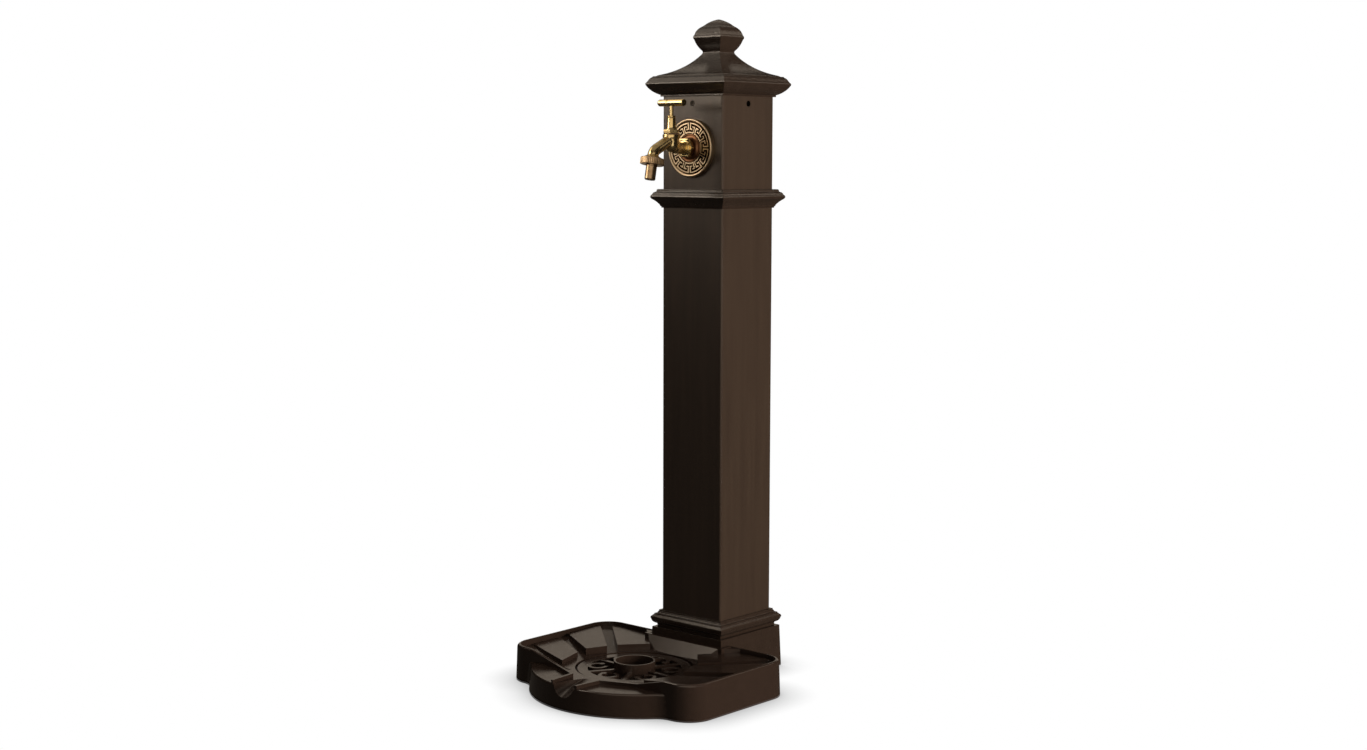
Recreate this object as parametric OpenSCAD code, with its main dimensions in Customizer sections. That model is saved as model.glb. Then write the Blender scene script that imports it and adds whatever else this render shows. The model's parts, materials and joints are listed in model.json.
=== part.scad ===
// Garden standpipe: a square column with a roof cap, a bib tap on a rosette and a drip tray.
// Millimetres. The origin is on the ground under the column's axis, +Z is up, the tap faces -Y.

/* [Column] */
// Outside width of the square column
column_w = 110; // [104:1:116]
// Wall of the column tube
column_wall = 3; // [2:0.5:4]
// Radius of the column's upright edges
column_edge_r = 3; // [2:0.5:5]
// Length of column that shows, from the plinth's top to the eaves
column_h = 754.5; // [700:0.5:820]
// Depth of the cap's socket over the column's top
cap_socket = 18; // [14:0.5:20]

/* [Plinth] */
// Height of the plinth
plinth_h = 59.4; // [56:0.2:66]
// How far the plinth's top stands out past the column
plinth_over = 10; // [8.5:0.5:11]
// How much each side spreads from the plinth's top to the ground
plinth_spread = 2; // [1:0.5:3]
// Wall of the plinth casting
plinth_wall = 4; // [3:0.5:5]
// Height of the spigot that stands inside the column
spigot_h = 45; // [40:1:60]
// Spacing of the four ground anchor holes
anchor_pitch = 76; // [72:1:80]
// Diameter of the ground anchor holes
anchor_d = 9; // [8:0.5:10]

/* [Collars] */
// How far the collars' nosing stands out past the column
collar_over = 12; // [10:0.5:14]
// Height of the base collar
base_collar_h = 24.4; // [22:0.2:28]
// Height of the upper collar
upper_collar_h = 26; // [24:0.5:30]
// From the upper collar's top to the eaves
upper_collar_drop = 128.5; // [120:0.5:140]

/* [Cap] */
// How far the eaves stand out past the column
eave_over = 17.5; // [15:0.5:20]
// Height of the cap's underside, from the column to the nosing
eave_drop = 17.5; // [16:0.5:19]
// Height of the roof, from the nosing to the finial's neck
roof_h = 44.2; // [40:0.2:50]
// Half width of the finial's neck
neck_half = 15.7; // [14:0.1:17]
// Half width of the finial at its widest
finial_half = 25.4; // [23:0.1:28]
// Height of the finial above its neck
finial_h = 45; // [42:0.5:50]
// Wall of the cap casting
cap_wall = 4; // [3:0.5:5]

/* [Screws] */
// Diameter of the screws that hold the cap and the column
screw_d = 5; // [4:0.5:6]
// Diameter of their heads
screw_head_d = 8; // [7:0.1:9]
// From the eaves down to the cap screws
cap_screw_drop = 10.2; // [9:0.1:14]

/* [Tap] */
// From the eaves down to the tap's inlet axis
tap_drop = 71.2; // [66:0.2:76]
// From the column's face to the spindle's axis
tap_reach = 43; // [41:0.5:46]
// Outside diameter of the half inch pipe thread
pipe_thread_d = 20.955; // [20.9:0.005:21]
// Radius of the tap's upright barrel
barrel_r = 10.75; // [10.5:0.05:12]
// Height of the barrel's top above the inlet axis
barrel_top = 18.2; // [17.5:0.1:19.5]
// Height of the valve seat above the inlet axis
seat_rise = 6.3; // [6.1:0.1:7]
// Radius of the spout
spout_r = 7.6; // [7:0.1:8.4]
// How steeply the spout leaves the barrel, in degrees below level
spout_fall = 25; // [20:1:28]
// Radius of the spout's bend
spout_bend = 12; // [10.5:0.5:14]
// From the spindle's axis forward to the end of the spout's bend
spout_reach = 37.5; // [36:0.5:40]
// From the inlet axis down to the end of the spout's bend
spout_drop = 11.1; // [10:0.1:13]
// How far the outlet leans forward from upright, in degrees
outlet_tilt = 11; // [8:1:14]
// Radius of the outlet's thread
outlet_thread_r = 13.1; // [12.5:0.1:13.2]
// Height of the handle's bar above the inlet axis
bar_rise = 60.8; // [58:0.2:64]
// Diameter of the handle's bar
bar_d = 9.6; // [9:0.1:10.5]
// Length of the handle's bar
bar_l = 50; // [46:1:54]
// How far the handle is turned from straight out when the tap is shut, in degrees
bar_turn = -95; // [-180:5:0]
// Diameter of the spindle's stem
stem_d = 5.4; // [5:0.1:6]
// Width across the flats of the bonnet's hexagon
bonnet_af = 20; // [19:0.5:22]

/* [Hose union] */
// Outside diameter of the union nut
hose_nut_d = 32.5; // [32:0.1:36]
// Height of the union nut
hose_nut_h = 9.5; // [9:0.1:12]
// Diameter of the hose tail
hose_tail_d = 14.8; // [14:0.1:15.4]
// Length of hose tail below the union nut
hose_tail_l = 20.5; // [18:0.5:30]

/* [Rosette] */
// Outside diameter of the rosette
rosette_d = 80; // [76:1:86]
// Height of the rosette's dome above the column's face
rosette_h = 10.7; // [9.5:0.1:12]
// Number of key fret figures round the rosette, each an inner and an outer hook
key_count = 8; // [6:1:9]

/* [Supply] */
// Outside diameter of the riser pipe
riser_d = 15; // [14:0.5:15]
// Wall of the riser pipe
riser_wall = 0.8; // [0.7:0.1:1.2]
// From the column's axis to the riser's axis, towards the tap
riser_y = 14; // [12:0.5:16]

/* [Tray] */
// Half width of the tray on the ground
tray_half_w = 174; // [168:1:180]
// Height of the tray's rim
tray_h = 50; // [47:0.5:53]
// From the column's axis to the tray's straight front wall
tray_front = 251.5; // [248:0.5:258]
// From the column's axis to the tray's back wall
tray_back = 45; // [40:0.5:50]
// Radius of the tray's corners
tray_corner_r = 36; // [30:1:40]
// Wall of the tray casting
tray_wall = 5; // [4:0.5:6]
// Draft of the tray's walls over their height
tray_draft = 1.7; // [1:0.1:2.5]
// Radius of the round step at the front
step_r = 154; // [150:1:158]
// From the column's axis to the centre of the round step
step_y = 160; // [156:1:164]
// Height of the round step
step_h = 32.5; // [30:0.5:33]
// Height of the lips beside the spout channel
lip_top = 37.5; // [36:0.1:39]
// Half width of the spout channel
channel_r = 19.5; // [17:0.5:21]
// Diameter of the drain hole under the grate
drain_d = 24; // [16:1:40]

/* [Grate] */
// Outside diameter of the grate
grate_d = 158; // [150:1:160]
// From the column's axis to the grate's centre
grate_y = 172; // [171:0.5:175]
// Height of the grate's top above the ground
grate_top = 31; // [30:0.2:32]
// Thickness of the grate
grate_t = 5; // [4:0.5:6]
// Width of the grate's flat outer ring
grate_ring = 14.5; // [12:0.5:17]
// Outside diameter of the cup ring in the grate's middle
cup_d = 57.4; // [52:0.2:62]
// Height of the cup ring above the grate's top
cup_h = 10.5; // [8:0.5:14]
// Number of spokes in the grate
spoke_count = 6; // [5:1:7]

/* [Hidden] */
$fn = 64;

// Clearances and small shared sizes
slip = 0.2;
thread_gap = 0.05;
turn_gap = 0.05;
stem_gap = 0.15;
seat_gap = 0.1;
olive_gap = 0.02;
free_gap = 0.3;
over_cut = 1;

// Column, plinth and cap
half = column_w / 2;
eaves_z = plinth_h + column_h;
column_top = eaves_z + cap_socket;
column_in = half - column_wall;
spigot_half = column_in - slip;
spigot_wall = 4;
plinth_half = half + plinth_over;
plinth_in = plinth_half - plinth_wall;
spigot_in = spigot_half - spigot_wall;
anchor_flange_h = 6;
anchor_opening = 60;
bridge_w = 28;
upper_collar_z = eaves_z - upper_collar_drop - upper_collar_h;
base_screw_z = plinth_h + base_collar_h / 2;
cap_screw_z = eaves_z - cap_screw_drop;
cap_spigot_low = cap_screw_z - 12;
screw_r = screw_d / 2;
screw_head_r = screw_head_d / 2;
screw_grip = 8;
screw_socket_af = 4;
head_recess = 0.4;

// Tap
tap_z = eaves_z - tap_drop;
spindle_y = -(half + tap_reach);
shank_r = pipe_thread_d / 2;
waterway_r = 4.8;
spout_bore_r = 5.5;
seat_z = tap_z + seat_rise;
barrel_z = tap_z + barrel_top;
chamber_r = 8.5;
seat_r = 4.5;
bend_turn = 90 - outlet_tilt - spout_fall;
bend_end = [0, spindle_y - spout_reach, tap_z - spout_drop];
bend_centre = bend_end + spout_bend * [0, cos(outlet_tilt), -sin(outlet_tilt)];
bend_start = bend_centre + spout_bend * [0, -sin(spout_fall), cos(spout_fall)];
spout_run = (spindle_y - bend_start[1]) / cos(spout_fall);
spout_inside = 5;
passage_r = 5;
passage_l = 8;
passage_z = tap_z + 5.8;
spout_step = 0.15;
spout_lap = 0.4;
boss_l = 7.5;
boss_above_nut = 3;
tap_collar_af = 25;
tap_collar_l = 7;
tap_neck_r = spout_r + 0.5;
barrel_low = tap_z + 4.5;
barrel_rim = 1.4;
barrel_rim_h = 5;
dome_y = -(half + rosette_h);
shank_end = 27;
lock_washer_t = 2;
lock_nut_t = 6;
lock_nut_af = 30;

// Bonnet, spindle and valve
bonnet_washer_t = 1.2;
bonnet_z = barrel_z + bonnet_washer_t;
bonnet_hex_h = 5;
bonnet_skirt = 9.5;
skirt_in = 6.6;
lift_room = 6.2;
screw_part_r = 4.45;
neck_r = 5.2;
neck_rise = 14.5;
neck_top = bonnet_z + bonnet_hex_h + neck_rise;
ledge_z = neck_top - 6;
ledge_t = 1;
gland_r = 6.35;
gland_cap = 4.5;
gland_top = neck_top + gland_cap;
packing_t = 4;
stem_r = stem_d / 2;
bar_z = tap_z + bar_rise;
bar_groove = 6;
washer_t = 3;
washer_r = 6.2;
jumper_t = 2.4;
jumper_r = 6;
jumper_stem_r = 2.5;
jumper_stem_l = 7.5;
stud_r = 2;
stud_end = 0.6;
washer_nut_af = 6;
washer_nut_t = 2.4;
spindle_low = seat_z + washer_t + jumper_t + seat_gap;
screw_part_top = ledge_z - lift_room;

// Hose union, measured along the outlet's axis from the nut's top
union_ledge = 1.7;
tail_flange_t = 1.4;
tail_flange_r = outlet_thread_r - 0.4;
tail_chamfer = 1.2;
hose_washer_t = hose_nut_h - union_ledge - tail_flange_t - (boss_l - boss_above_nut) - seat_gap;
tail_collar_l = 1.5;
tail_r = hose_tail_d / 2;
tail_collar_r = tail_r + 0.5;
tail_bore_r = 5.2;
flute_count = 40;
flute_r = 0.9;

// Supply
riser_r = riser_d / 2;
elbow_r = 14;
elbow_socket = half - column_wall - lock_washer_t - lock_nut_t - 2;
leg_r = 11;
leg_low = tap_z - 26;
pipe_stop = 12;
pipe_bore_r = 6;
comp_nut_af = 24;
comp_nut_h = 18;
comp_nut_lip = 7.5;
olive_h = 6;
olive_r = 9.8;
inlet_hex_af = 27;
inlet_hex_h = 6.6;
inlet_leg_top = plinth_h + inlet_hex_h + 14;
inlet_low = plinth_h - 27.4;
inlet_groove_t = 1;
inlet_groove_r = 9.6;

// Tray, with the grate's centre as the middle of its dish
dish_centre = [0, -grate_y, 0];
recess_r = grate_d / 2 + 3;
recess_z = grate_top - grate_t;
sump_r = grate_d / 2 - grate_ring + 3;
sump_z = 12;
sump_wall = 4;
sump_ring_r = recess_r + 3.5;
floor_z = grate_top + 1;
floor_slope = 0.105;
floor_t = tray_wall + 1;
pad_slope = 0.04;
pad_margin = 5;
// Pads on the right of the dish, as [height, back side, front side], where a side is [angle of its inner
// end about the grate's centre, distance of that end from the recess, direction in which it runs outwards]
pad_list = [
    [41.5, [61, 10, 42], [31, 6, 42]],
    [42, [20, 4, 41], [-1, 10, 27]],
    [39.5, [-10, 13, 26], [-40, 18, 19]]];
ramp_run = 17;
rim_round = 4;
notch_half = plinth_half + plinth_spread + 0.5;
notch_front = notch_half;
step_draft = 2.5;
step_round = 2.5;
fillet_r = 28;
fillet_x = sqrt(pow(step_r + fillet_r, 2) - pow(tray_front + fillet_r - step_y, 2));
fillet_y = -tray_front - fillet_r;
mouth_y = step_y + step_r;
lip_w = 4;
lip_splay = 4;
funnel_x = 77;
funnel_y = tray_front + 18.5;
wall_rise_x = 128;
channel_fall = 16;
bolt_r = 4;
bolt_hole_r = 4.4;
bolt_x = 34;
bolt_z = 21;
bolt_af = 13;
bolt_head_t = 5.3;
bolt_nut_t = 6.5;
bolt_end = 1.5;
bolt_boss_r = 9;
far = 2 * tray_half_w;

// Grate
cup_wall = 2.6;
spoke_w = 6;
curl_r = 14.5;
curl_w = 5;
curl_gap = 75;
curl_ball_r = 4.2;
curl_at = grate_d / 2 - grate_ring - curl_r + 2;

// Rosette, as radii from its axis and heights above the column's face
rosette_r = rosette_d / 2;
rope_r = 1.7;
band_h = 5;
band_in = rosette_r / 2 - 0.5;
band_out = rosette_r - 2 * rope_r - 0.6;
bead_r = 1.1;
key_h = 1.2;
key_in = band_in + 1;
key_out = band_out - 1.4;
key_line = 0.115;
key_gap = 0.171;
hook_tip = 0.48;
hook_inner = 0.77;
hook_outer = 0.91;

coat = "#3b2e25";
brass = "#c6a24e";
bronze = "#8a6a3c";
dull_brass = "#b48f66";
copper = "#b5683e";
fibre = "#7a2f22";
rubber = "#222222";
steel = "#9a9a98";

function arc(x, z, r, from, to, steps = 6) =
    [for (i = [0:steps]) let (a = from + (to - from) * i / steps) [x + r * cos(a), z + r * sin(a)]];
function bow(from, to, sag, steps = 8) =
    let (d = to - from, across = [-d[1], d[0]] / norm(d))
    [for (i = [0:steps]) let (t = i / steps) from + d * t + across * sag * 4 * t * (1 - t)];
function hex_r(flats) = flats / sqrt(3);
function polar(r, a) = [r * cos(a), r * sin(a)];

// Square moulding: one profile of [half width, height] run both ways and mitred at the corners
module square_moulding(profile) {
    n = len(profile);
    reach = 2 * max([for (p = profile) p[0]]) + 2 * over_cut;
    outline = concat(profile, [for (i = [1:n]) [-profile[n - i][0], profile[n - i][1]]]);
    intersection() {
        rotate([90, 0, 0]) linear_extrude(reach, center = true) polygon(outline);
        rotate([90, 0, 90]) linear_extrude(reach, center = true) polygon(outline);
    }
}

module square_bar(half_w, low, high) {
    translate([-half_w, -half_w, low]) cube([2 * half_w, 2 * half_w, high - low]);
}

module rounded_square(w, r) {
    square([w, w - 2 * r], center = true);
    square([w - 2 * r, w], center = true);
    for (x = [-1, 1], y = [-1, 1]) translate([x, y] * (w / 2 - r)) circle(r);
}

module rod(r, low, high) {
    translate([0, 0, low]) cylinder(r = r, h = high - low);
}

module hex_bar(flats, low, high) {
    translate([0, 0, low]) cylinder(r = hex_r(flats), h = high - low, $fn = 6);
}

// Lays pieces drawn along +Z so that they run from y towards the front
module facing_front(y, z = 0) {
    translate([0, y, z]) rotate([90, 0, 0]) children();
}

module on_spindle() {
    translate([0, spindle_y, 0]) children();
}

// The outlet's own frame: the union nut's top at the origin, the water leaving along +Z
module at_outlet() {
    translate(bend_end - boss_above_nut * [0, sin(outlet_tilt), cos(outlet_tilt)])
        rotate([180 - outlet_tilt, 0, 0]) children();
}

module on_riser() {
    translate([0, -riser_y, 0]) children();
}

module four_sides() {
    for (a = [0, 90, 180, 270]) rotate(a) children();
}

// Socket screw through the front wall of the column, its head just below the surface
module wall_screw(z) {
    facing_front(-column_in + screw_grip, z) {
        difference() {
            union() {
                cylinder(r = screw_r, h = screw_grip);
                rod(screw_head_r, screw_grip, screw_grip + column_wall - head_recess);
            }
            hex_bar(screw_socket_af, screw_grip + column_wall / 2, screw_grip + column_wall + over_cut);
        }
    }
}

// Hole of a wall screw, wide in the column and narrow in the spigot behind it
module wall_screw_hole(z) {
    facing_front(-column_in + slip, z) cylinder(r = screw_head_r + slip, h = column_wall + over_cut);
}

module spigot_screw_hole(z) {
    facing_front(-column_in + screw_grip, z) cylinder(r = screw_r + thread_gap, h = screw_grip);
}

module plinth() {
    color(coat) {
        difference() {
            square_moulding([[plinth_half + plinth_spread, 0], [plinth_half, plinth_h]]);
            square_bar(anchor_opening / 2, -over_cut, plinth_h + over_cut);
            square_bar(spigot_in, anchor_flange_h, plinth_h + over_cut);
            square_bar(plinth_in, anchor_flange_h, plinth_h - plinth_wall);
            for (x = [-1, 1], y = [-1, 1])
                translate([x, y, 0] * anchor_pitch / 2)
                    rod(anchor_d / 2, -over_cut, anchor_flange_h + over_cut);
            for (x = [-1, 1]) translate([x * bolt_x, 0, 0])
                facing_front(-plinth_in + over_cut, bolt_z)
                    cylinder(r = bolt_hole_r, h = plinth_wall + plinth_spread + 2 * over_cut);
        }
        for (x = [-1, 1]) translate([x * bolt_x, 0, 0]) facing_front(-plinth_in, bolt_z) difference() {
            cylinder(r = bolt_boss_r, h = notch_front - plinth_in);
            rod(bolt_hole_r, -over_cut, notch_front);
        }
        difference() {
            square_bar(spigot_half, plinth_h - plinth_wall, plinth_h + spigot_h);
            square_bar(spigot_in, plinth_h - plinth_wall - over_cut, plinth_h + spigot_h + over_cut);
            four_sides() spigot_screw_hole(base_screw_z);
        }
        difference() {
            translate([-spigot_half, -riser_y - bridge_w / 2, plinth_h - plinth_wall])
                cube([2 * spigot_half, bridge_w, plinth_wall]);
            on_riser() rod(shank_r + slip, 0, plinth_h + over_cut);
        }
    }
}

module base_collar() {
    nose = half + collar_over;
    z = plinth_h;
    color(coat) difference() {
        square_moulding(concat(
            [[half + 4.8, z], [half + 4.8, z + 3.4]],
            bow([half + 5.4, z + 4.6], [nose - 0.8, z + 11], -1.4),
            arc(nose - 3, z + 13.2, 3, -35, 65, 5),
            [[half + 8.8, z + 17.6], [half + 8, z + 17.6], [half + 8, z + 19.2]],
            bow([half + 7.2, z + 19.2], [half + 4, z + base_collar_h - 2.2], 0.8, 4),
            [[half + 3.2, z + base_collar_h - 2.2], [half + 3.2, z + base_collar_h]]));
        square_bar(half + slip, z - over_cut, z + base_collar_h + over_cut);
    }
}

module base_screws() {
    color(steel) four_sides() wall_screw(base_screw_z);
}

module column_tube() {
    color(coat) difference() {
        translate([0, 0, plinth_h]) linear_extrude(column_top - plinth_h)
            rounded_square(column_w, column_edge_r);
        square_bar(column_in, plinth_h - over_cut, column_top + over_cut);
        four_sides() {
            wall_screw_hole(cap_screw_z);
            wall_screw_hole(base_screw_z);
        }
        facing_front(-column_in + over_cut, tap_z)
            cylinder(r = shank_r + slip, h = column_wall + 2 * over_cut);
    }
}

module upper_collar() {
    nose = half + collar_over + 0.6;
    z = upper_collar_z;
    top = z + upper_collar_h;
    color(coat) difference() {
        square_moulding(concat(
            [[half + 1.4, z], [half + 1.4, z + 2.2], [half + 2.6, z + 2.2]],
            bow([half + 2.8, z + 3.8], [nose - 1.6, z + 12.2], 0.6, 4),
            arc(nose - 3.6, top - 10.6, 3.6, -45, 55, 6),
            bow([half + 10.6, top - 7], [half + 7.8, top - 3.8], -0.5, 4),
            [[half + 7, top - 3.8], [half + 6.2, top - 2.8], [half + 6.2, top - 1], [half + 5.2, top]]));
        square_bar(half + slip, z - over_cut, top + over_cut);
    }
}

// The roof and its onion finial are one hollow casting with a spigot that enters the column
module cap() {
    nose = half + eave_over;
    nose_z = eaves_z + eave_drop;
    neck_z = nose_z + roof_h;
    wide_z = neck_z + 0.45 * finial_h;
    tip_z = neck_z + finial_h;
    color(coat) {
        difference() {
            square_moulding(concat(
                [[half + 2.4, eaves_z], [half + 2.4, eaves_z + 2.4]],
                bow([half + 4.4, eaves_z + 3.2], [nose - 0.6, nose_z - 2], -1.4),
                arc(nose - 2.6, nose_z, 2.6, -30, 60, 5),
                bow([nose - 3, nose_z + 5], [half + 10.6, nose_z + 9.4], -0.6, 4),
                [[half + 9.8, nose_z + 10.6], [half + 7, nose_z + 10.6]],
                bow([half + 5, nose_z + 12], [neck_half + 1.2, neck_z - 3.2], 4.5, 16),
                bow([neck_half, neck_z - 0.8], [neck_half + 0.9, neck_z + 2.2], 0.3, 3),
                bow([neck_half + 2.6, neck_z + 4.2], [finial_half - 1.2, wide_z - 3.2], -0.6, 8),
                arc(finial_half - 4.5, wide_z, 4.5, -40, 40, 6),
                bow([finial_half - 1.3, wide_z + 3.4], [finial_half * 0.6, tip_z - 9], -1.7, 8),
                bow([finial_half * 0.52, tip_z - 7], [1.5, tip_z], -0.8, 4)));
            square_bar(half + slip, eaves_z - over_cut, column_top);
            square_moulding([
                [spigot_half - cap_wall, column_top - over_cut], [spigot_half - cap_wall, column_top + 6],
                [neck_half + 8, column_top + 20], [6, column_top + 34]]);
        }
        difference() {
            square_bar(spigot_half, cap_spigot_low, column_top + over_cut);
            square_bar(spigot_half - spigot_wall, cap_spigot_low - over_cut, column_top + 2 * over_cut);
            four_sides() spigot_screw_hole(cap_screw_z);
        }
    }
}

module cap_screws() {
    color(steel) four_sides() wall_screw(cap_screw_z);
}

// Outline of a key fret's hook: a base line with two arms whose ends turn in. Its heights run from the
// base's edge to the turned ends' far edge, its half angles are shares of half the figure's pitch
function key_hook(pitch, base, base_edge, tip_edge, tip) =
    let (out = hook_outer * pitch / 2, arm = hook_inner * pitch / 2, end = hook_tip * pitch / 2)
    concat(arc(0, 0, base, -out, out), arc(0, 0, tip, out, end, 2), arc(0, 0, tip_edge, end, arm, 2),
           arc(0, 0, base_edge, arm, -arm), arc(0, 0, tip_edge, -arm, -end, 2), arc(0, 0, tip, -end, -out, 2));
function key_at(share) = key_in + share * (key_out - key_in);

module rosette() {
    pitch = 360 / key_count;
    turn = 2 * (key_line + key_gap);
    end = turn + key_line;
    color(bronze) facing_front(-half, tap_z) {
        difference() {
            union() {
                rotate_extrude() polygon(concat(
                    [[0, 0], [rosette_r, 0], [rosette_r, band_h - 1]],
                    arc(rosette_r - rope_r, band_h - 0.4, rope_r, 0, 180, 8),
                    [[band_out, band_h], [band_in, band_h]],
                    arc(band_in - bead_r, band_h, bead_r, 0, 180, 6),
                    bow([band_in - 3, band_h], [shank_r + 2, rosette_h], 1.6, 8),
                    [[0, rosette_h]]));
                for (i = [0:key_count - 1]) rotate(i * pitch) translate([0, 0, band_h - key_h])
                    linear_extrude(2 * key_h) {
                        polygon(key_hook(pitch, key_at(0), key_at(key_line), key_at(turn), key_at(end)));
                        rotate(pitch / 2) polygon(key_hook(
                            pitch, key_at(1), key_at(1 - key_line), key_at(1 - turn), key_at(1 - end)));
                    }
            }
            rod(shank_r + slip, -over_cut, rosette_h + over_cut);
        }
    }
}

// The spout's bend as a ring's arc of the given radius
module bend(r) {
    translate(bend_centre) rotate([0, -90, 180]) rotate(spout_fall)
        rotate_extrude(angle = bend_turn) translate([spout_bend, 0]) circle(r);
}

// The spout's straight stretch, from the bend back to the barrel
module back_along_spout() {
    translate(bend_start) rotate([spout_fall - 90, 0, 0]) children();
}

module tap_body() {
    color(brass) difference() {
        union() {
            facing_front(-shank_end, tap_z) cylinder(r = shank_r, h = -dome_y - shank_end);
            facing_front(dome_y, tap_z) {
                hex_bar(tap_collar_af, 0, tap_collar_l);
                cylinder(r = tap_neck_r, h = dome_y - spindle_y - barrel_r / 2);
            }
            on_spindle() {
                rod(barrel_r, barrel_low, barrel_z);
                translate([0, 0, barrel_low]) sphere(barrel_r);
                rod(barrel_r + barrel_rim, barrel_z - barrel_rim_h, barrel_z);
            }
            back_along_spout() rod(spout_r + spout_step, -spout_lap, spout_run - spout_inside);
            bend(spout_r);
            at_outlet() {
                translate([0, 0, -boss_above_nut - 2 * spout_lap]) cylinder(
                    r1 = spout_r - 4 * spout_step, r2 = outlet_thread_r, h = boss_above_nut + spout_lap);
                rod(outlet_thread_r, -spout_lap, boss_l - boss_above_nut);
            }
        }
        facing_front(-shank_end + over_cut, tap_z)
            cylinder(r = waterway_r, h = -spindle_y - shank_end + waterway_r + over_cut);
        on_spindle() {
            rod(seat_r, tap_z, seat_z + over_cut);
            rod(chamber_r, seat_z, barrel_z + over_cut);
        }
        facing_front(spindle_y - washer_r - slip, passage_z) cylinder(r = passage_r, h = passage_l);
        back_along_spout() rod(spout_bore_r + spout_step, -spout_lap, spout_run - washer_r - passage_l);
        bend(spout_bore_r);
        at_outlet() rod(spout_bore_r + spout_step, -boss_above_nut - spout_lap, boss_l + over_cut);
    }
}

module bonnet() {
    color(brass) on_spindle() difference() {
        union() {
            hex_bar(bonnet_af, bonnet_z, bonnet_z + bonnet_hex_h);
            rod(chamber_r - thread_gap, barrel_z - bonnet_skirt, bonnet_z + over_cut);
            rod(neck_r, bonnet_z, neck_top);
        }
        rod(skirt_in, barrel_z - bonnet_skirt - over_cut, spindle_low + lift_room);
        rod(screw_part_r + turn_gap, barrel_z - bonnet_skirt, ledge_z);
        rod(stem_r + stem_gap, ledge_z - over_cut, neck_top + over_cut);
        rod(screw_part_r, ledge_z + ledge_t, neck_top + over_cut);
    }
}

module bonnet_washer() {
    color(fibre) on_spindle() difference() {
        rod(barrel_r, barrel_z, bonnet_z);
        rod(chamber_r, barrel_z - over_cut, bonnet_z + over_cut);
    }
}

module gland_nut() {
    low = bonnet_z + bonnet_hex_h;
    color(brass) on_spindle() difference() {
        rotate_extrude() polygon([
            [0, low], [gland_r + 1.6, low], [gland_r, low + 3], [gland_r - 0.6, gland_top - 3.4],
            [gland_r - 1.2, gland_top - 2.6], [gland_r - 0.5, gland_top - 1.8],
            [gland_r - 0.5, gland_top - 0.5], [gland_r - 1, gland_top], [0, gland_top]]);
        rod(neck_r + thread_gap, low - over_cut, neck_top + slip);
        rod(stem_r + stem_gap, low, gland_top + over_cut);
    }
}

module gland_packing() {
    color(rubber) on_spindle() difference() {
        rod(screw_part_r - thread_gap, ledge_z + ledge_t, ledge_z + ledge_t + packing_t);
        rod(stem_r + turn_gap, ledge_z, neck_top);
    }
}

module spindle() {
    color(brass) on_spindle() difference() {
        union() {
            rod(screw_part_r, spindle_low, screw_part_top);
            rod(stem_r, screw_part_top - over_cut, bar_z);
        }
        rod(jumper_stem_r + turn_gap, spindle_low - over_cut, spindle_low + jumper_stem_l + stud_end);
    }
}

module t_bar() {
    r = bar_d / 2;
    groove = bar_l / 2 + bar_groove;
    color(brass) on_spindle() rotate(bar_turn) translate([0, bar_l / 2, bar_z]) rotate([90, 0, 0])
        difference() {
            rotate_extrude() polygon(concat(
                [[0, 0], [r - 1, 0]], arc(r - 1, 1, 1, -90, 0, 4),
                [[r, groove - 0.9], [r - 0.5, groove - 0.4], [r - 0.5, groove + 0.4], [r, groove + 0.9]],
                arc(r - 3, bar_l - 3, 3, 0, 90, 6), [[0, bar_l]]));
            translate([0, 0, bar_l / 2]) rotate([90, 0, 0]) rod(stem_r + thread_gap, -seat_gap, bar_d);
        }
}

module jumper() {
    color(brass) on_spindle() {
        rod(jumper_r, seat_z + washer_t, seat_z + washer_t + jumper_t);
        rod(jumper_stem_r, seat_z + washer_t, seat_z + washer_t + jumper_t + jumper_stem_l);
        rod(stud_r, seat_z - washer_nut_t - stud_end, seat_z + washer_t + over_cut);
    }
}

module tap_washer() {
    color(rubber) on_spindle() difference() {
        rod(washer_r, seat_z, seat_z + washer_t);
        rod(stud_r + thread_gap, seat_z - over_cut, seat_z + washer_t + over_cut);
    }
}

module washer_nut() {
    color(brass) on_spindle() difference() {
        hex_bar(washer_nut_af, seat_z - washer_nut_t, seat_z);
        rod(stud_r + thread_gap, seat_z - washer_nut_t - over_cut, seat_z + over_cut);
    }
}

module hose_nut() {
    r = hose_nut_d / 2;
    color(dull_brass) at_outlet() difference() {
        rotate_extrude() polygon([
            [0, 0], [r - 0.8, 0], [r, 0.8], [r, hose_nut_h - 0.8], [r - 0.8, hose_nut_h], [0, hose_nut_h]]);
        rod(outlet_thread_r + free_gap, -over_cut, hose_nut_h - union_ledge);
        rod(tail_collar_r + free_gap, 0, hose_nut_h + over_cut);
        for (i = [0:flute_count - 1]) rotate(i * 360 / flute_count) translate([r + flute_r * 0.55, 0, 0])
            rod(flute_r, -over_cut, hose_nut_h + over_cut);
    }
}

module hose_tail() {
    flange_z = hose_nut_h - union_ledge - tail_flange_t;
    end = hose_nut_h + hose_tail_l;
    color(dull_brass) at_outlet() difference() {
        union() {
            rod(tail_flange_r, flange_z - seat_gap / 2, flange_z + tail_flange_t - seat_gap / 2);
            rod(tail_collar_r, flange_z, hose_nut_h + tail_collar_l);
            rod(tail_r, hose_nut_h, end - tail_chamfer);
            translate([0, 0, end - tail_chamfer])
                cylinder(r1 = tail_r, r2 = tail_r - 0.75 * tail_chamfer, h = tail_chamfer);
        }
        rod(tail_bore_r, flange_z - over_cut, end + over_cut);
    }
}

module hose_washer() {
    low = boss_l - boss_above_nut;
    color(rubber) at_outlet() difference() {
        rod(tail_flange_r, low, low + hose_washer_t);
        rod(spout_bore_r, low - over_cut, low + hose_washer_t + over_cut);
    }
}

module lock_washer() {
    color(fibre) facing_front(-column_in + lock_washer_t, tap_z) difference() {
        cylinder(r = hex_r(lock_nut_af) - 2, h = lock_washer_t);
        rod(shank_r + slip, -over_cut, lock_washer_t + over_cut);
    }
}

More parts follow.
